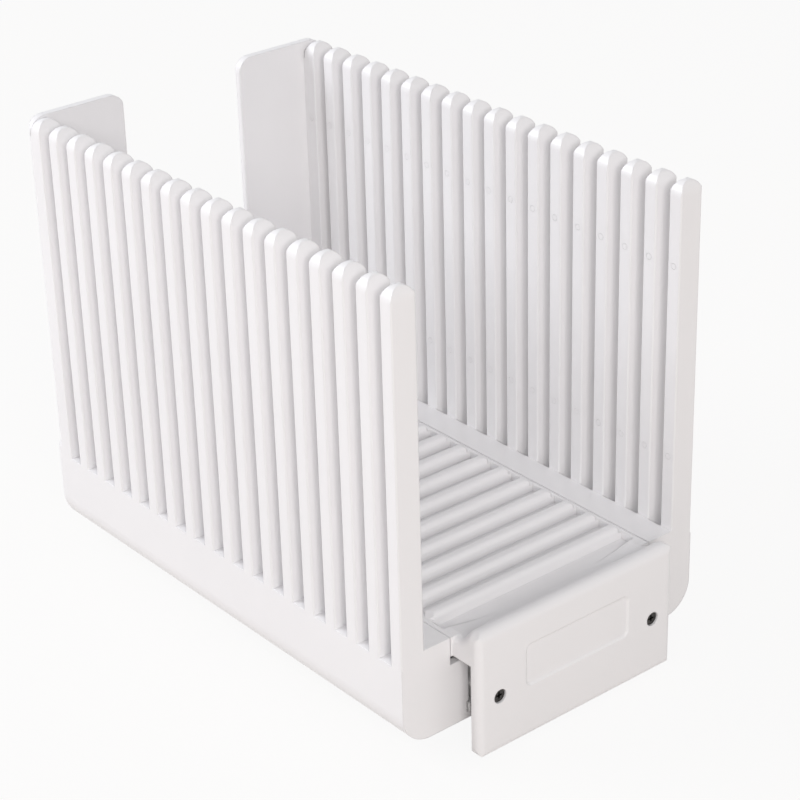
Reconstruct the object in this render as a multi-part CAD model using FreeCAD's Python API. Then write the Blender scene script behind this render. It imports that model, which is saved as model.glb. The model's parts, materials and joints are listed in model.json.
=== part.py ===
import FreeCAD, Part
import math
import os

os.makedirs("parts", exist_ok=True)

Vector = FreeCAD.Vector

# Bread slicer guide: two comb-shaped halves stand on a base plate, and a ribbed
# cutting tray with a hanging front panel slides out between them on two runners.
#
# Working axes, in millimetres: X is across the loaf (right is +), Y runs from the
# front of the base to its back, and Z is up from the underside of the base.
# Each piece is moved once, on export, so that the origin is under the middle of
# the whole guide, on the surface it stands on.

# ---- slicing comb --------------------------------------------------------------
slice_pitch = 11.0           # one slice: a finger and the knife gap behind it
finger_count = 18            # on each side
finger_width = 5.3           # along the loaf
finger_depth = 9.3           # across the loaf
finger_height = 124.5        # above the ledge
finger_crown_radius = 4.6    # rounded shoulders of a finger
finger_edge = 0.4            # softened edges of a finger
crown_drop = 3.0             # a finger is drawn in front and back over this height
crown_setback = 1.5          # by this much at the very top
crown_foot_radius = 6.0
crown_top_radius = 1.2
loaf_bay_width = 108.4       # between the two rows of fingers

# ---- end panels (turned in from the last fingers) ------------------------------
end_panel_thickness = 2.8
end_panel_setback = 0.7      # from the last finger's back to the panel's front
end_panel_opening = 50.0     # between the two end panels
end_panel_corner_radius = 5.5
end_panel_outer_radius = 6.5
end_post_corner_radius = 3.6
end_edge = 0.7

# ---- base of each half ---------------------------------------------------------
ledge_height = 33.1          # flat floor beside the tray
ledge_width = 10.4
knife_pocket_depth = 4.3     # knife gaps end this far below the ledge
base_back_margin = 6.2       # base beyond the last finger, as high as the ledge
skirt_corner_radius = 11.0   # rounded lower outer edge
skirt_wall = 3.0
apron_wall = 3.0             # front wall of the base
rear_wall = 5.5
rear_foot_radius = 5.0
rear_ledge_radius = 2.4
channel_wall = 2.6           # inner wall beside the tray
deck_thickness = 2.8         # floor of the knife gaps and of the ledge
web_thickness = 2.0          # stiffening webs under the deck
web_every = 3                # fingers from one web to the next
seat_lip = 0.5               # flat of the skirt's underside beside the base plate

# ---- cutting tray --------------------------------------------------------------
tray_side_clearance = 0.3
tray_back_clearance = 0.5
tray_depth = 7.1             # thickness of the tray plate
groove_depth = 2.7
rib_rise = 1.9               # ribs above the tray plate
rib_end_inset = 1.7
rib_end_bevel = 1.7
rib_edge_radius = 2.0
tray_side_radius = 0.5       # softened upper side edges
neck_inset = 0.8             # neck and panel narrower than the tray, on each side
neck_side_radius = 3.0       # the same in front of the base
tray_pocket_depth = 2.2      # moulded hollows under the tray
tray_pocket_length = 27.0
tray_pocket_gap = 1.2        # from a hollow to the runner's tab
neck_clearance = 3.0         # apron below the tray's neck

# ---- front panel and shelf -----------------------------------------------------
panel_gap = 7.9              # finger room between the panel and the base
panel_thickness = 4.2
panel_drop = 8.0             # panel below the underside of the base
panel_front_radius = 2.4
panel_back_radius = 0.8
panel_corner_radius = 3.8    # lower corners
lip_rise = 5.1               # top of the panel above the ledge
lip_front_radius = 2.9
lip_back_radius = 1.1
lip_crest_radius = 3.5
lip_crest_setback = 1.1      # the lip starts to slope this far behind the panel
lip_foot_radius = 6.0
lip_slope_reach = 4.4        # and reaches the level of the tray this far behind it
shelf_valley_radius = 12.0
shelf_end_run = 12.0         # soft rise of the shelf towards its sides
shelf_end_radius = 70.0
plaque_width = 45.6
plaque_height = 16.0
plaque_rise = 11.0           # its lower edge above the underside of the base
plaque_corner_radius = 2.6
plaque_depth = 0.6
plaque_bevel = 0.8           # sloped rim of the plaque

# ---- runners under the tray ----------------------------------------------------
runner_inset = 10.1          # centre line from the side of the tray's channel
runner_web = 3.0
runner_foot_width = 6.4
runner_foot_height = 3.0
runner_lift = 0.5            # foot above the base plate
runner_front = -1.0
runner_rear_clearance = 4.5
runner_nose_radius = 2.4
runner_nose_back = 11.0      # the nose runs on along the web, around the screw
runner_tab_length = 10.0
runner_tab_reach = 9.0
runner_tab_thickness = 3.0
runner_tab_drop = 2.6        # tab below the tray's underside
tray_travel = 150.0
stop_gap = 0.3

# ---- base plate and its guides -------------------------------------------------
plate_thickness = 2.5
plate_clearance = 0.3
guide_clearance = 0.4
guide_wall = 2.2
guide_lip_height = 2.5
guide_front_inset = 3.0
guide_rear_inset = 5.0
leg_height = 6.5
leg_radius = 8.5
leg_end_inset = 28.0
leg_side_inset = 4.7         # outer side of a leg from the side of the base plate

# ---- foot pads -----------------------------------------------------------------
pad_radius = 6.3
pad_thickness = 4.0
pad_seat_depth = 1.5
pad_fit = 0.05

# ---- screws --------------------------------------------------------------------
screw_radius = 1.25
screw_fit = 0.05
screw_clearance_hole = 1.55
screw_head_fit = 0.2
panel_screw_height = 12.8
panel_screw_seat = 2.2       # depth of its counterbore
panel_screw_head_radius = 2.3
panel_screw_head_height = 1.5
panel_screw_length = 17.0
base_screw_head_radius = 2.6
base_screw_head_height = 1.4
base_screw_length = 12.0
base_screw_count = 3         # in each half
base_screw_end_inset = 20.0
runner_screw_head_radius = 2.4
runner_screw_head_height = 1.4
runner_screw_length = 7.5
boss_radius = 3.2
recess_length = 2.4          # cross recess in a screw head
recess_width = 0.7
recess_depth = 0.8

# ---- sizes that follow ---------------------------------------------------------
bay_half = loaf_bay_width / 2
outer_half = bay_half + finger_depth
finger_top = ledge_height + finger_height
gap_floor = ledge_height - knife_pocket_depth
last_finger = (finger_count - 1) * slice_pitch
base_length = last_finger + finger_width + base_back_margin
end_panel_front = last_finger + finger_width + end_panel_setback
end_panel_back = end_panel_front + end_panel_thickness
channel_half = bay_half - ledge_width
channel_back = base_length - rear_wall
seat_half = outer_half - skirt_corner_radius - seat_lip
tray_half = channel_half - tray_side_clearance
tray_back = channel_back - tray_back_clearance
tray_top = ledge_height
tray_underside = tray_top - tray_depth
groove_floor = tray_top - groove_depth
groove_half = tray_half - rib_end_inset
neck_half = tray_half - neck_inset
rib_top = tray_top + rib_rise
neck_floor = tray_underside - neck_clearance
panel_back = -panel_gap
panel_front = panel_back - panel_thickness
panel_bottom = -panel_drop
panel_top = ledge_height + lip_rise
lip_crest = panel_back + lip_crest_setback
lip_foot = panel_back + lip_slope_reach
plate_half = seat_half - plate_clearance
plate_front = apron_wall + plate_clearance
plate_back = channel_back - plate_clearance
runner_x = channel_half - runner_inset
runner_back = tray_back - runner_rear_clearance
foot_bottom = plate_thickness + runner_lift
foot_top = foot_bottom + runner_foot_height
tab_front = apron_wall + tray_travel + stop_gap
tab_top = tray_underside - runner_tab_drop
tab_bottom = tab_top - runner_tab_thickness
tab_inner = runner_x - runner_web / 2 - runner_tab_reach
tab_screw_x = runner_x - runner_web / 2 - runner_tab_reach / 2
tab_screw_y = tab_front + runner_tab_length / 2
pocket_half = tab_inner - tray_pocket_gap
boss_overlap = 0.4           # of a screw boss into the channel wall
boss_x = channel_half + channel_wall + boss_radius - boss_overlap
leg_x = plate_half - leg_side_inset - leg_radius
pad_top = -leg_height + pad_seat_depth
stand_height = leg_height - pad_seat_depth + pad_thickness
middle_y = (panel_front + base_length) / 2


# ---- geometry helpers ----------------------------------------------------------
def box(x0, x1, y0, y1, z0, z1):
    return Part.makeBox(x1 - x0, y1 - y0, z1 - z0, Vector(x0, y0, z0))


def rod(radius, start, direction, length):
    return Part.makeCylinder(radius, length, Vector(*start), Vector(*direction))


def rounded_face(corners, to_space):
    """Closed flat face from (u, v, radius) corners, each rounded by its radius."""
    tangents = []
    count = len(corners)
    for index, (u, v, radius) in enumerate(corners):
        corner = Vector(u, v, 0)
        before = Vector(corners[index - 1][0], corners[index - 1][1], 0) - corner
        after = Vector(corners[(index + 1) % count][0], corners[(index + 1) % count][1], 0) - corner
        before.normalize()
        after.normalize()
        if radius == 0:
            tangents.append((corner, None, corner))
            continue
        half_angle = before.getAngle(after) / 2
        setback = radius / math.tan(half_angle)
        bisector = before + after
        bisector.normalize()
        crown = corner + bisector * (radius / math.sin(half_angle) - radius)
        tangents.append((corner + before * setback, crown, corner + after * setback))
    edges = []
    for index, (arc_start, crown, arc_end) in enumerate(tangents):
        if crown is not None:
            arc = Part.Arc(to_space(arc_start), to_space(crown), to_space(arc_end))
            edges.append(arc.toShape())
        next_start = tangents[(index + 1) % count][0]
        if arc_end.distanceToPoint(next_start) > 1e-6:
            edges.append(Part.LineSegment(to_space(arc_end), to_space(next_start)).toShape())
    return Part.Face(Part.Wire(edges))


def along_y(corners, y0, y1):
    """Prism with an (x, z) section, from y0 to y1."""
    face = rounded_face(corners, lambda p: Vector(p.x, y0, p.y))
    return face.extrude(Vector(0, y1 - y0, 0))


def along_x(corners, x0, x1):
    """Prism with a (y, z) section, from x0 to x1."""
    face = rounded_face(corners, lambda p: Vector(x0, p.x, p.y))
    return face.extrude(Vector(x1 - x0, 0, 0))


def along_z(corners, z0, z1):
    """Prism with an (x, y) plan, from z0 to z1."""
    face = rounded_face(corners, lambda p: Vector(p.x, p.y, z0))
    return face.extrude(Vector(0, 0, z1 - z0))


def bevelled_corners(x0, x1, y0, y1, bevel):
    """Corners of a rectangle with its four corners cut off."""
    return [
        (x0 + bevel, y0, 0),
        (x1 - bevel, y0, 0),
        (x1, y0 + bevel, 0),
        (x1, y1 - bevel, 0),
        (x1 - bevel, y1, 0),
        (x0 + bevel, y1, 0),
        (x0, y1 - bevel, 0),
        (x0, y0 + bevel, 0),
    ]


def edges_where(shape, test):
    return [edge for edge in shape.Edges if test(edge.BoundBox)]


def mirrored(shape):
    return shape.mirror(Vector(0, 0, 0), Vector(1, 0, 0))


def save(name, shape):
    placed = shape.copy()
    placed.translate(Vector(0, -middle_y, stand_height))
    placed.exportStep("parts/" + name + ".step")


def evenly_spaced(first, last, count):
    return [first + (last - first) * index / (count - 1) for index in range(count)]


base_screw_rows = evenly_spaced(base_screw_end_inset, base_length - base_screw_end_inset, base_screw_count)


# ---- comb half -----------------------------------------------------------------
def finger_side(y0):
    """Side view of the finger at y0, drawn in front and back to a domed crown."""
    root = gap_floor - deck_thickness / 2
    back = y0 + finger_width
    side_view = [
        (y0, root, 0),
        (back, root, 0),
        (back, finger_top - crown_drop, crown_foot_radius),
        (back - crown_setback, finger_top, crown_top_radius),
        (y0 + crown_setback, finger_top, crown_top_radius),
        (y0, finger_top - crown_drop, crown_foot_radius),
    ]
    return along_x(side_view, bay_half, outer_half)


def finger():
    """One finger at the front of the right-hand comb, rounded over its top."""
    root = gap_floor - deck_thickness / 2
    front_view = [
        (bay_half, root, 0),
        (outer_half, root, 0),
        (outer_half, finger_top, finger_crown_radius),
        (bay_half, finger_top, finger_crown_radius),
    ]
    plan = bevelled_corners(bay_half, outer_half, 0, finger_width, finger_edge)
    bar = along_z(plan, root, finger_top).common(along_y(front_view, 0, finger_width))
    bar = bar.common(finger_side(0))
    return bar.fuse(box(bay_half, bay_half + finger_edge + 1, 0, finger_width, root, ledge_height))


def end_post():
    """Last finger, and the end panel turned in behind it."""
    root = gap_floor - deck_thickness / 2
    inner = end_panel_opening / 2
    plan = [
        (inner, end_panel_front, end_edge),
        (bay_half, end_panel_front, 0),
        (bay_half, last_finger, finger_edge),
        (outer_half, last_finger, finger_edge),
        (outer_half, end_panel_back, end_post_corner_radius),
        (inner, end_panel_back, end_edge),
    ]
    finger_view = [
        (bay_half, root, 0),
        (outer_half, root, 0),
        (outer_half, finger_top, finger_crown_radius),
        (bay_half, finger_top, finger_crown_radius),
    ]
    panel_view = [
        (inner, root, 0),
        (outer_half, root, 0),
        (outer_half, finger_top, end_panel_outer_radius),
        (inner, finger_top, end_panel_corner_radius),
    ]
    upright = along_z(plan, root, finger_top)
    foot_back = last_finger + finger_width
    join = box(bay_half, outer_half, foot_back, end_panel_front, root, finger_top - 2 * crown_drop)
    last = upright.common(along_y(finger_view, last_finger, end_panel_front))
    last = last.common(finger_side(last_finger).fuse(join))
    panel = upright.common(along_y(panel_view, end_panel_front, end_panel_back))
    foot = box(bay_half, bay_half + finger_edge + 1, last_finger, foot_back, root, ledge_height)
    return last.fuse([panel, foot])


def skirt_block():
    """Outer form of one half of the base, before it is hollowed."""
    section = [
        (0, 0, 0),
        (outer_half, 0, skirt_corner_radius),
        (outer_half, gap_floor, 0),
        (bay_half, gap_floor, 0),
        (bay_half, ledge_height, 0),
        (0, ledge_height, 0),
    ]
    rear_section = [
        (0, 0, 0),
        (outer_half, 0, skirt_corner_radius),
        (outer_half, ledge_height, 0),
        (0, ledge_height, 0),
    ]
    rear_start = last_finger + finger_width
    front = along_y(section, 0, rear_start)
    block = front.fuse(along_y(rear_section, rear_start, base_length)).removeSplitter()
    rear_foot = edges_where(block, lambda b: b.YMin > base_length - 1e-3 and b.ZMax < skirt_corner_radius + 1e-3)
    block = block.makeFillet(rear_foot_radius, rear_foot)
    rear_top = edges_where(
        block, lambda b: b.YMin > base_length - 1e-3 and b.ZMin > ledge_height - 1e-3 and b.XLength > 1)
    return block.makeFillet(rear_ledge_radius, rear_top)


def deck_hollow():
    """Space under the knife gaps and the ledge, open below."""
    wall_x = channel_half + channel_wall
    inside_x = outer_half - skirt_wall
    step_x = bay_half - channel_wall
    section = [
        (wall_x, -1, 0),
        (seat_half, -1, 0),
        (seat_half, skirt_wall, 0),
        (inside_x, skirt_wall, skirt_corner_radius - skirt_wall),
        (inside_x, gap_floor - deck_thickness, 0),
        (step_x, gap_floor - deck_thickness, 0),
        (step_x, ledge_height - deck_thickness, 0),
        (wall_x, ledge_height - deck_thickness, 0),
    ]
    return along_y(section, apron_wall, channel_back)


def comb_half():
    """Right-hand half: skirt, ledge, fingers and end panel in one moulding."""
    half = skirt_block()
    half = half.cut(deck_hollow())
    half = half.cut(box(-1, channel_half, apron_wall, channel_back, -1, ledge_height + 1))
    half = half.cut(box(-1, channel_half, -1, apron_wall + 1, neck_floor, ledge_height + 1))
    half = half.cut(box(-1, seat_half, apron_wall, channel_back, -1, plate_thickness))

    # Slots that the runners pass through, in the shape of the runner's section.
    side = runner_nose_radius + guide_clearance
    foot_side = runner_foot_width / 2 + guide_clearance
    half = half.cut(box(runner_x - side, runner_x + side, -1, apron_wall + 1, foot_bottom, neck_floor + 1))
    half = half.cut(box(runner_x - foot_side, runner_x + foot_side, -1, apron_wall + 1,
                        foot_bottom - guide_clearance, foot_top + guide_clearance))

    # Webs under the deck and bosses for the screws that hold the base plate.
    added = []
    for index in range(web_every, finger_count - 1, web_every):
        middle = index * slice_pitch + finger_width / 2
        added.append(box(channel_half + 1, outer_half - skirt_wall / 2, middle - web_thickness / 2,
                         middle + web_thickness / 2, skirt_corner_radius, gap_floor - deck_thickness / 2))
    for row in base_screw_rows:
        height = ledge_height - deck_thickness / 2 - plate_thickness
        added.append(rod(boss_radius, (boss_x, row, plate_thickness), (0, 0, 1), height))

    for index in range(finger_count - 1):
        tooth = finger()
        tooth.translate(Vector(0, index * slice_pitch, 0))
        added.append(tooth)
    added.append(end_post())
    half = half.multiFuse(added).removeSplitter()

    pilot = screw_radius + screw_fit
    drilled = [rod(pilot, (boss_x, row, 0), (0, 0, 1), base_screw_length + 1) for row in base_screw_rows]
    return half.cut(Part.makeCompound(drilled))


# ---- cutting tray --------------------------------------------------------------
def rib(y0):
    """Raised rib that carries the loaf in line with one pair of fingers."""
    side_view = [
        (y0, groove_floor, 0),
        (y0 + finger_width, groove_floor, 0),
        (y0 + finger_width, rib_top, rib_edge_radius),
        (y0, rib_top, rib_edge_radius),
    ]
    front_view = [
        (-groove_half, groove_floor, 0),
        (groove_half, groove_floor, 0),
        (groove_half, tray_top, 0),
        (groove_half - rib_rise, rib_top, 0),
        (-groove_half + rib_rise, rib_top, 0),
        (-groove_half, tray_top, 0),
    ]
    plan = bevelled_corners(-groove_half, groove_half, y0, y0 + finger_width, rib_end_bevel)
    bar = along_x(side_view, -groove_half, groove_half)
    bar = bar.common(along_z(plan, groove_floor, rib_top))
    return bar.common(along_y(front_view, y0, y0 + finger_width))


def tray_body():
    """Plate, and the neck with its slope up to the lip; the upper side edges are softened."""
    root = panel_front + lip_front_radius
    neck_view = [
        (root, panel_top, 0),
        (lip_crest, panel_top, lip_crest_radius),
        (lip_foot, tray_top, lip_foot_radius),
        (0, tray_top, 0),
        (0, tray_underside, 0),
        (root, tray_underside, 0),
    ]
    plate = box(-tray_half, tray_half, 0, tray_back, tray_underside, tray_top)
    plate_sides = edges_where(
        plate, lambda b: b.XLength < 1e-6 and b.YLength > 1 and b.ZMin > tray_top - 1e-3)
    plate = plate.makeFillet(tray_side_radius, plate_sides)
    neck = along_x(neck_view, -neck_half, neck_half)
    neck_sides = edges_where(neck, lambda b: b.XLength < 1e-6 and b.ZMin > tray_top - 1e-3)
    return plate.fuse(neck.makeFillet(neck_side_radius, neck_sides))


def front_panel():
    """Hanging panel, as wide as the neck, rounded at its corners and edges."""
    plan = [
        (-neck_half, panel_front, panel_front_radius),
        (neck_half, panel_front, panel_front_radius),
        (neck_half, panel_back, panel_back_radius),
        (-neck_half, panel_back, panel_back_radius),
    ]
    side_view = [
        (panel_front, panel_bottom, panel_front_radius),
        (panel_front, panel_top, lip_front_radius),
        (panel_back, panel_top, lip_back_radius),
        (panel_back, panel_bottom, panel_back_radius),
    ]
    front_view = [
        (-neck_half, panel_bottom, panel_corner_radius),
        (neck_half, panel_bottom, panel_corner_radius),
        (neck_half, panel_top, neck_side_radius),
        (-neck_half, panel_top, neck_side_radius),
    ]
    upright = along_z(plan, panel_bottom, panel_top)
    upright = upright.common(along_x(side_view, -neck_half, neck_half))
    return upright.common(along_y(front_view, panel_front, panel_back))


def shelf_scoop():
    """Dish between the lip and the first rib; it rises softly towards its two ends."""
    slope = (lip_foot - lip_crest) / (panel_top - tray_top)
    side_view = [
        (lip_crest, panel_top, 0),
        (lip_crest + slope * (panel_top - groove_floor), groove_floor, shelf_valley_radius),
        (slice_pitch, groove_floor, 0),
        (slice_pitch, panel_top, 0),
    ]
    foot = neck_half - neck_side_radius - shelf_end_run
    brow = foot + shelf_end_run * (panel_top - groove_floor) / groove_depth
    front_view = [
        (-brow, panel_top, 0),
        (-foot, groove_floor, shelf_end_radius),
        (foot, groove_floor, shelf_end_radius),
        (brow, panel_top, 0),
    ]
    return along_x(side_view, -brow, brow).common(along_y(front_view, lip_crest, slice_pitch))


def plaque_recess():
    """Bare recess in the front panel, with a sloped rim."""
    def outline(inset, y):
        half = plaque_width / 2 - inset
        low = plaque_rise + inset
        high = plaque_rise + plaque_height - inset
        radius = plaque_corner_radius - inset
        corners = [(-half, low, radius), (half, low, radius), (half, high, radius), (-half, high, radius)]
        return rounded_face(corners, lambda p: Vector(p.x, y, p.y)).OuterWire

    return Part.makeLoft([outline(0, panel_front), outline(plaque_bevel, panel_front + plaque_depth)], True, True)


def cutting_tray():
    tray = tray_body().fuse(front_panel())
    tray = tray.cut(shelf_scoop())

    grooves = []
    for index in range(finger_count - 1):
        y0 = index * slice_pitch + finger_width
        grooves.append(box(-groove_half, groove_half, y0, y0 + slice_pitch - finger_width,
                           groove_floor, tray_top + 1))
    tray = tray.cut(Part.makeCompound(grooves))
    tray = tray.fuse([rib(index * slice_pitch) for index in range(1, finger_count)]).removeSplitter()

    # Moulded hollows under the tray, in two rows with a web between them.
    pockets = []
    step = tray_pocket_length + web_thickness
    rows = int((tab_front - slice_pitch) // step)
    for index in range(rows):
        y0 = slice_pitch + index * step
        for side in (-1, 1):
            inner = side * web_thickness / 2
            outer = side * pocket_half
            pockets.append(box(min(inner, outer), max(inner, outer), y0, y0 + tray_pocket_length,
                               tray_underside - 1, tray_underside + tray_pocket_depth))
    tray = tray.cut(Part.makeCompound(pockets))

    # Bosses for the runner screws, holes for the panel screws and the bare plaque.
    pilot = screw_radius + screw_fit
    for side in (-1, 1):
        spot = side * tab_screw_x
        tray = tray.fuse(rod(boss_radius, (spot, tab_screw_y, tab_top), (0, 0, 1), groove_floor - tab_top - 1))
        tray = tray.cut(rod(pilot, (spot, tab_screw_y, tab_top - 1), (0, 0, 1), runner_screw_length - 1))
        hole = (side * runner_x, panel_front - 1, panel_screw_height)
        tray = tray.cut(rod(screw_clearance_hole, hole, (0, 1, 0), panel_thickness + 2))
        tray = tray.cut(rod(panel_screw_head_radius + screw_head_fit, hole, (0, 1, 0), panel_screw_seat + 1))
    return tray.cut(plaque_recess())


# ---- runner --------------------------------------------------------------------
def runner():
    """Right-hand runner: web, foot, nose behind the panel and screw tab."""
    web = box(runner_x - runner_web / 2, runner_x + runner_web / 2, runner_front, runner_back,
              foot_top - 1, tray_underside)
    foot = box(runner_x - runner_foot_width / 2, runner_x + runner_foot_width / 2, runner_front, runner_back,
               foot_bottom, foot_top)
    nose = rod(runner_nose_radius, (runner_x, panel_back, panel_screw_height), (0, 1, 0),
               runner_nose_back - panel_back)
    tab = box(tab_inner, runner_x, tab_front, tab_front + runner_tab_length, tab_bottom, tab_top)
    piece = web.fuse([foot, nose, tab]).removeSplitter()
    pilot = rod(screw_radius + screw_fit, (runner_x, panel_back - 1, panel_screw_height), (0, 1, 0),
                panel_screw_length - panel_screw_head_height)
    tab_hole = rod(screw_clearance_hole, (tab_screw_x, tab_screw_y, tab_bottom - 1), (0, 0, 1),
                   runner_tab_thickness + 2)
    return piece.cut([pilot, tab_hole])


# ---- base plate ----------------------------------------------------------------
def guide(centre):
    """Channel that holds one runner's foot down while the tray slides."""
    inner = runner_foot_width / 2 + guide_clearance
    mouth = runner_web / 2 + guide_clearance
    lip_bottom = foot_top + guide_clearance
    lip_top = lip_bottom + guide_lip_height
    start = plate_front + guide_front_inset
    end = plate_back - guide_rear_inset
    pieces = []
    for side in (-1, 1):
        wall = sorted((centre + side * inner, centre + side * (inner + guide_wall)))
        lip = sorted((centre + side * mouth, centre + side * (inner + guide_wall)))
        pieces.append(box(wall[0], wall[1], start, end, plate_thickness - 1, lip_top))
        pieces.append(box(lip[0], lip[1], start, end, lip_bottom, lip_top))
    return pieces


def leg(x, y):
    post = rod(leg_radius, (x, y, -leg_height), (0, 0, 1), leg_height + 1)
    return post.cut(rod(pad_radius + pad_fit, (x, y, -leg_height - 1), (0, 0, 1), pad_seat_depth + 1))


leg_places = [
    (side * leg_x, y)
    for y in (plate_front + leg_end_inset, plate_back - leg_end_inset)
    for side in (-1, 1)
]


def base_plate():
    plate = box(-plate_half, plate_half, plate_front, plate_back, 0, plate_thickness)
    legs = [leg(x, y) for x, y in leg_places]
    plate = plate.fuse(guide(-runner_x) + guide(runner_x) + legs).removeSplitter()
    holes = []
    for side in (-1, 1):
        for row in base_screw_rows:
            spot = (side * boss_x, row, -1)
            holes.append(rod(screw_clearance_hole, spot, (0, 0, 1), plate_thickness + 2))
            holes.append(rod(base_screw_head_radius + screw_head_fit, spot, (0, 0, 1),
                             base_screw_head_height + 1))
    return plate.cut(Part.makeCompound(holes))


def foot_pad(x, y):
    return rod(pad_radius, (x, y, pad_top - pad_thickness), (0, 0, 1), pad_thickness)


# ---- screws --------------------------------------------------------------------
def screw(head_radius, head_height, length):
    """Cross-head screw along +Z, with the underside of its head at the origin."""
    shank = rod(screw_radius, (0, 0, 0), (0, 0, 1), length - head_height)
    head = rod(head_radius, (0, 0, -head_height), (0, 0, 1), head_height)
    long_half = recess_length / 2
    short_half = recess_width / 2
    slots = [
        box(-long_half, long_half, -short_half, short_half, -head_height - 1, -head_height + recess_depth),
        box(-short_half, short_half, -long_half, long_half, -head_height - 1, -head_height + recess_depth),
    ]
    return shank.fuse(head).removeSplitter().cut(slots)


def panel_screws():
    group = []
    seat = panel_front + panel_screw_seat
    for side in (-1, 1):
        item = screw(panel_screw_head_radius, panel_screw_head_height, panel_screw_length)
        item.rotate(Vector(0, 0, 0), Vector(1, 0, 0), -90)
        item.translate(Vector(side * runner_x, seat, panel_screw_height))
        group.append(item)
    return Part.makeCompound(group)


def runner_screws():
    group = []
    for side in (-1, 1):
        item = screw(runner_screw_head_radius, runner_screw_head_height, runner_screw_length)
        item.translate(Vector(side * tab_screw_x, tab_screw_y, tab_bottom))
        group.append(item)
    return Part.makeCompound(group)


def base_screws():
    group = []
    for side in (-1, 1):
        for row in base_screw_rows:
            item = screw(base_screw_head_radius, base_screw_head_height, base_screw_length)
            item.translate(Vector(side * boss_x, row, base_screw_head_height))
            group.append(item)
    return Part.makeCompound(group)


# ---- the assembly --------------------------------------------------------------
right_half = comb_half()
save("right_comb_half", right_half)
save("left_comb_half", mirrored(right_half))
save("cutting_tray", cutting_tray())
right_runner = runner()
save("right_runner", right_runner)
save("left_runner", mirrored(right_runner))
save("base_plate", base_plate())
save("panel_screws", panel_screws())
save("runner_screws", runner_screws())
save("base_screws", base_screws())
pad_names = ("front_left_foot_pad", "front_right_foot_pad", "rear_left_foot_pad", "rear_right_foot_pad")
for pad_name, (pad_x, pad_y) in zip(pad_names, leg_places):
    save(pad_name, foot_pad(pad_x, pad_y))
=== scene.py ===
import json
import math

import bmesh
import bpy
from mathutils import Matrix, Vector


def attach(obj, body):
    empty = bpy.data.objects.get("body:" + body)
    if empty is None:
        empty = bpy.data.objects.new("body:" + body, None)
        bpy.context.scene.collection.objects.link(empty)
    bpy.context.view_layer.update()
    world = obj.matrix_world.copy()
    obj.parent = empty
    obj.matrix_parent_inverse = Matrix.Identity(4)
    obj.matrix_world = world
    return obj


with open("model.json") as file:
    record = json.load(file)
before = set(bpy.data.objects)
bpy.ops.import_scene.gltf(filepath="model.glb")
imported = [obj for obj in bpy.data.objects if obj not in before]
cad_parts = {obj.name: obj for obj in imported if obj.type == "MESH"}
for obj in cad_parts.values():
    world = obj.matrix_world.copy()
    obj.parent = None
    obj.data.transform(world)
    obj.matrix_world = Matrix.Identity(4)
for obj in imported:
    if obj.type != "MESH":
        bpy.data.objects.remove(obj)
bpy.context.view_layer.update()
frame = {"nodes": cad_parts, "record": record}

MM = 0.001

# ---- view ----------------------------------------------------------------------
# The camera stands in front of the guide, to its left and above it.
CAMERA_AZIMUTH = math.radians(39.021)
CAMERA_DROP = math.radians(27.017)
CAMERA_ROLL = math.radians(-1.632)
CAMERA_DISTANCE = 807.03 * MM
LENS = 106.28
SENSOR = 36.0
PICTURE_SIZE = 800
AIM_POINT = Vector((0.0, 0.3, 81.66)) * MM
AIM_PIXEL = (366.13, 382.70)    # where the aim point lies in the picture
NEAREST_SEEN = 0.01
FARTHEST_SEEN = 50.0


def camera_axes():
    """Forward, right and up directions of the camera."""
    forward = Vector((
        math.sin(CAMERA_AZIMUTH) * math.cos(CAMERA_DROP),
        math.cos(CAMERA_AZIMUTH) * math.cos(CAMERA_DROP),
        -math.sin(CAMERA_DROP),
    ))
    level_right = forward.cross(Vector((0, 0, 1))).normalized()
    level_up = level_right.cross(forward)
    turn_cos = math.cos(CAMERA_ROLL)
    turn_sin = math.sin(CAMERA_ROLL)
    right = level_right * turn_cos + level_up * turn_sin
    up = level_up * turn_cos - level_right * turn_sin
    return forward, right, up


def add_camera():
    """Camera that puts AIM_POINT at AIM_PIXEL."""
    forward, right, up = camera_axes()
    pixel = CAMERA_DISTANCE * SENSOR / (LENS * PICTURE_SIZE)
    aside = (AIM_PIXEL[0] - PICTURE_SIZE / 2) * pixel
    above = (PICTURE_SIZE / 2 - AIM_PIXEL[1]) * pixel
    place = AIM_POINT - forward * CAMERA_DISTANCE - right * aside - up * above
    data = bpy.data.cameras.new("camera")
    data.lens = LENS
    data.sensor_width = SENSOR
    data.clip_start = NEAREST_SEEN
    data.clip_end = FARTHEST_SEEN
    camera = bpy.data.objects.new("camera", data)
    bpy.context.scene.collection.objects.link(camera)
    turn = Matrix((right, up, -forward)).transposed().to_4x4()
    camera.matrix_world = Matrix.Translation(place) @ turn
    bpy.context.scene.camera = camera


# ---- light ---------------------------------------------------------------------
WHITE = (1.0, 1.0, 1.0, 1.0)
WORLD_COLOUR = (0.985, 0.985, 1.0, 1.0)
WORLD_LEVEL = 0.45
WORLD_WHITE_SHARE = 1.0
LAMP_SIZE = 0.7
LAMP_TARGET = Vector((0.0, 0.0, 0.07))
KEY_PLACE = Vector((-0.85, 0.75, 0.85))
KEY_WATTS = 10.0
KEY_COLOUR = (0.93, 0.955, 1.0)
FILL_PLACE = Vector((-0.85, -1.6, 0.9))
FILL_WATTS = 17.2
FILL_COLOUR = (1.0, 0.975, 0.955)


def add_lamp(name, place, watts, colour):
    """Square soft lamp that points at the middle of the guide."""
    data = bpy.data.lights.new(name, "AREA")
    data.shape = "SQUARE"
    data.size = LAMP_SIZE
    data.energy = watts
    data.color = colour
    lamp = bpy.data.objects.new(name, data)
    bpy.context.scene.collection.objects.link(lamp)
    lamp.rotation_euler = (LAMP_TARGET - place).to_track_quat("-Z", "Y").to_euler()
    lamp.location = place


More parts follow.
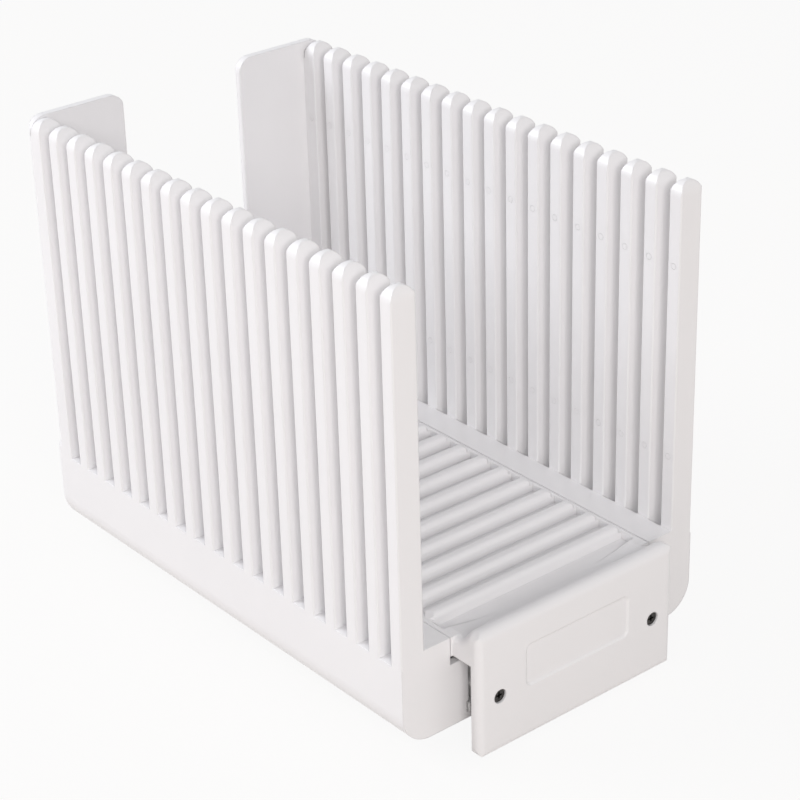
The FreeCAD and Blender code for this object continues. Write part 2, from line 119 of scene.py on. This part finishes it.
def white_for_viewers(nodes, links, share):
    """The given share for rays from the camera, reflections and glass, and none for other rays."""
    path = nodes.new("ShaderNodeLightPath")
    viewers = path.outputs["Is Camera Ray"]
    for ray in ("Is Glossy Ray", "Is Transmission Ray"):
        either = nodes.new("ShaderNodeMath")
        either.operation = "MAXIMUM"
        links.new(viewers, either.inputs[0])
        links.new(path.outputs[ray], either.inputs[1])
        viewers = either.outputs[0]
    part = nodes.new("ShaderNodeMath")
    part.operation = "MULTIPLY"
    links.new(viewers, part.inputs[0])
    part.inputs[1].default_value = share
    return part.outputs[0]


def add_world():
    """Plain soft light, seen as white by the camera and in reflections."""
    world = bpy.data.worlds.new("studio")
    world.use_nodes = True
    bpy.context.scene.world = world
    nodes = world.node_tree.nodes
    links = world.node_tree.links
    nodes.clear()
    soft = nodes.new("ShaderNodeBackground")
    soft.inputs["Color"].default_value = WORLD_COLOUR
    soft.inputs["Strength"].default_value = WORLD_LEVEL
    white = nodes.new("ShaderNodeBackground")
    white.inputs["Color"].default_value = WHITE
    white.inputs["Strength"].default_value = 1.0
    mix = nodes.new("ShaderNodeMixShader")
    links.new(white_for_viewers(nodes, links, WORLD_WHITE_SHARE), mix.inputs["Fac"])
    links.new(soft.outputs[0], mix.inputs[1])
    links.new(white.outputs[0], mix.inputs[2])
    output = nodes.new("ShaderNodeOutputWorld")
    links.new(mix.outputs[0], output.inputs["Surface"])


# ---- floor ---------------------------------------------------------------------
FLOOR_SIZE = 24.0
FLOOR_WHITE_SHARE = 0.91
FLOOR_COLOUR = (0.70, 0.65, 0.61, 1.0)
FLOOR_ROUGHNESS = 0.85
FLOOR_SPECULAR = 0.1


def add_floor():
    """Pale floor: nearly white to the camera and in reflections, darker where shadow falls on it."""
    bpy.ops.mesh.primitive_plane_add(size=FLOOR_SIZE, location=(0, 0, 0))
    floor = bpy.context.active_object
    floor.name = "floor"
    material, nodes, links, shader = new_material("floor")
    shader.inputs["Base Color"].default_value = FLOOR_COLOUR
    shader.inputs["Roughness"].default_value = FLOOR_ROUGHNESS
    shader.inputs["Specular IOR Level"].default_value = FLOOR_SPECULAR
    glow = nodes.new("ShaderNodeEmission")
    glow.inputs["Color"].default_value = WHITE
    glow.inputs["Strength"].default_value = 1.0
    mix = nodes.new("ShaderNodeMixShader")
    links.new(white_for_viewers(nodes, links, FLOOR_WHITE_SHARE), mix.inputs["Fac"])
    links.new(shader.outputs[0], mix.inputs[1])
    links.new(glow.outputs[0], mix.inputs[2])
    links.new(mix.outputs[0], nodes["Material Output"].inputs["Surface"])
    floor.data.materials.append(material)


# ---- materials -----------------------------------------------------------------
PLASTIC_IOR = 1.53
PLASTIC_MOTTLE = (22.0, 4.0)    # a noise is given by its scale and detail
PLASTIC_MOTTLE_LIMITS = (0.3, 0.7)
PLASTIC_RIPPLE = (160.0, 3.0)
PLASTIC_RIPPLE_DEPTH = 0.2 * MM
EDGE_SOFTENING = 0.6 * MM
EDGE_SAMPLES = 6
STEEL_GRAIN = (900.0, 5.0)
STEEL_DARKEST = (0.022, 0.02, 0.019)
STEEL_LIGHTEST = (0.10, 0.095, 0.09)
STEEL_ROUGHNESS = (0.28, 0.5)
RUBBER_GRAIN = (700.0, 6.0)
RUBBER_DARKEST = (0.09, 0.09, 0.095)
RUBBER_LIGHTEST = (0.14, 0.14, 0.145)
RUBBER_ROUGHNESS = 0.75
RUBBER_RELIEF = 0.3
RUBBER_RELIEF_DEPTH = 0.1 * MM


def new_material(name):
    material = bpy.data.materials.new(name)
    material.use_nodes = True
    nodes = material.node_tree.nodes
    return material, nodes, material.node_tree.links, nodes["Principled BSDF"]


def add_noise(nodes, links, scale, detail):
    """Noise that is fixed to the object."""
    place = nodes.new("ShaderNodeTexCoord")
    noise = nodes.new("ShaderNodeTexNoise")
    noise.inputs["Scale"].default_value = scale
    noise.inputs["Detail"].default_value = detail
    links.new(place.outputs["Object"], noise.inputs["Vector"])
    return noise.outputs["Fac"]


def vary_colour(nodes, links, shader, noise, darkest, lightest, limits=(0.0, 1.0)):
    """Base colour that goes from the darkest to the lightest between two limits of the noise."""
    tone = nodes.new("ShaderNodeValToRGB")
    for element, position, colour in zip(tone.color_ramp.elements, limits, (darkest, lightest)):
        element.position = position
        element.color = (*colour, 1.0)
    links.new(noise, tone.inputs["Fac"])
    links.new(tone.outputs["Color"], shader.inputs["Base Color"])


def vary_roughness(nodes, links, shader, noise, smoothest, roughest):
    gloss = nodes.new("ShaderNodeMapRange")
    gloss.inputs["To Min"].default_value = smoothest
    gloss.inputs["To Max"].default_value = roughest
    links.new(noise, gloss.inputs["Value"])
    links.new(gloss.outputs["Result"], shader.inputs["Roughness"])


def add_relief(nodes, links, shader, noise, strength, depth):
    relief = nodes.new("ShaderNodeBump")
    relief.inputs["Strength"].default_value = strength
    relief.inputs["Distance"].default_value = depth
    links.new(noise, relief.inputs["Height"])
    links.new(relief.outputs["Normal"], shader.inputs["Normal"])
    return relief


def moulded_plastic(name, colour, shade, roughness, ripple_strength):
    """Moulded plastic: slight cloudy tone, uneven gloss, a faint ripple and softened edges."""
    material, nodes, links, shader = new_material(name)
    shader.inputs["IOR"].default_value = PLASTIC_IOR
    cloud = add_noise(nodes, links, *PLASTIC_MOTTLE)
    vary_colour(nodes, links, shader, cloud, shade, colour, PLASTIC_MOTTLE_LIMITS)
    vary_roughness(nodes, links, shader, cloud, *roughness)
    ripple = add_noise(nodes, links, *PLASTIC_RIPPLE)
    relief = add_relief(nodes, links, shader, ripple, ripple_strength, PLASTIC_RIPPLE_DEPTH)
    softening = nodes.new("ShaderNodeBevel")
    softening.samples = EDGE_SAMPLES
    softening.inputs["Radius"].default_value = EDGE_SOFTENING
    links.new(softening.outputs["Normal"], relief.inputs["Normal"])
    return material


def screw_metal():
    """Dark plated steel with a fine grain."""
    material, nodes, links, shader = new_material("screw_steel")
    shader.inputs["Metallic"].default_value = 1.0
    grain = add_noise(nodes, links, *STEEL_GRAIN)
    vary_colour(nodes, links, shader, grain, STEEL_DARKEST, STEEL_LIGHTEST)
    vary_roughness(nodes, links, shader, grain, *STEEL_ROUGHNESS)
    return material


def pad_rubber():
    """Matt rubber with a fine grain."""
    material, nodes, links, shader = new_material("pad_rubber")
    shader.inputs["Roughness"].default_value = RUBBER_ROUGHNESS
    grain = add_noise(nodes, links, *RUBBER_GRAIN)
    vary_colour(nodes, links, shader, grain, RUBBER_DARKEST, RUBBER_LIGHTEST)
    add_relief(nodes, links, shader, grain, RUBBER_RELIEF, RUBBER_RELIEF_DEPTH)
    return material


def dress_nodes():
    """Gives every CAD node the material of its slot."""
    by_slot = {
        "white_plastic": moulded_plastic(
            "white_plastic", (0.865, 0.855, 0.865), (0.845, 0.835, 0.845), (0.26, 0.34), 0.05),
        "base_plastic": moulded_plastic(
            "base_plastic", (0.80, 0.80, 0.81), (0.77, 0.77, 0.785), (0.38, 0.48), 0.12),
        "runner_plastic": moulded_plastic(
            "runner_plastic", (0.78, 0.78, 0.77), (0.75, 0.75, 0.745), (0.32, 0.42), 0.08),
        "screw_steel": screw_metal(),
        "pad_rubber": pad_rubber(),
    }
    for entry in frame["record"]["subparts"]:
        node = frame["nodes"][entry["node"]]
        material = by_slot[entry["material_slot"]]
        for slot in node.material_slots:
            slot.material = material
    return by_slot


# ---- ejector marks -------------------------------------------------------------
SLICE_PITCH = 11.0 * MM
FINGER_COUNT = 18
FINGER_WIDTH = 5.3 * MM
COMB_FRONT_Y = -93.2 * MM
INNER_FACE_X = 54.2 * MM
MARK_HEIGHTS = (69.5 * MM, 138.0 * MM)
MARK_RADIUS = 1.15 * MM
MARK_LINE = 0.16 * MM           # width of the ring
MARK_SLOPE = 0.3 * MARK_LINE    # each side of the ring slopes over this much of it
MARK_RISE = 0.03 * MM
MARK_SIDES = 20


def add_mark(mesh, middle, side):
    """One raised ring on a face that looks towards the loaf."""
    section = [
        (MARK_RADIUS, 0.0),
        (MARK_RADIUS - MARK_SLOPE, MARK_RISE),
        (MARK_RADIUS - MARK_LINE + MARK_SLOPE, MARK_RISE),
        (MARK_RADIUS - MARK_LINE, 0.0),
    ]
    rings = []
    for radius, rise in section:
        ring = []
        for corner in range(MARK_SIDES):
            angle = 2 * math.pi * corner / MARK_SIDES
            offset = Vector((-side * rise, radius * math.cos(angle), radius * math.sin(angle)))
            ring.append(mesh.verts.new(middle + offset))
        rings.append(ring)
    for ring, following in zip(rings, rings[1:] + rings[:1]):
        for corner in range(MARK_SIDES):
            turn = (corner + 1) % MARK_SIDES
            mesh.faces.new((ring[corner], ring[turn], following[turn], following[corner]))


def add_ejector_marks(name, side, material):
    """Faint rings that the ejector pins leave on the inner faces of one comb."""
    mesh = bmesh.new()
    for index in range(FINGER_COUNT):
        finger_middle = COMB_FRONT_Y + index * SLICE_PITCH + FINGER_WIDTH / 2
        for height in MARK_HEIGHTS:
            add_mark(mesh, Vector((side * INNER_FACE_X, finger_middle, height)), side)
    bmesh.ops.recalc_face_normals(mesh, faces=mesh.faces)
    data = bpy.data.meshes.new(name)
    mesh.to_mesh(data)
    mesh.free()
    data.materials.append(material)
    piece = bpy.data.objects.new(name, data)
    bpy.context.scene.collection.objects.link(piece)
    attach(piece, "stand")


add_camera()
add_world()
add_lamp("key", KEY_PLACE, KEY_WATTS, KEY_COLOUR)
add_lamp("fill", FILL_PLACE, FILL_WATTS, FILL_COLOUR)
add_floor()
materials = dress_nodes()
add_ejector_marks("ejector_marks_right", 1, materials["white_plastic"])
add_ejector_marks("ejector_marks_left", -1, materials["white_plastic"])
bpy.context.scene.view_settings.view_transform = "Standard"
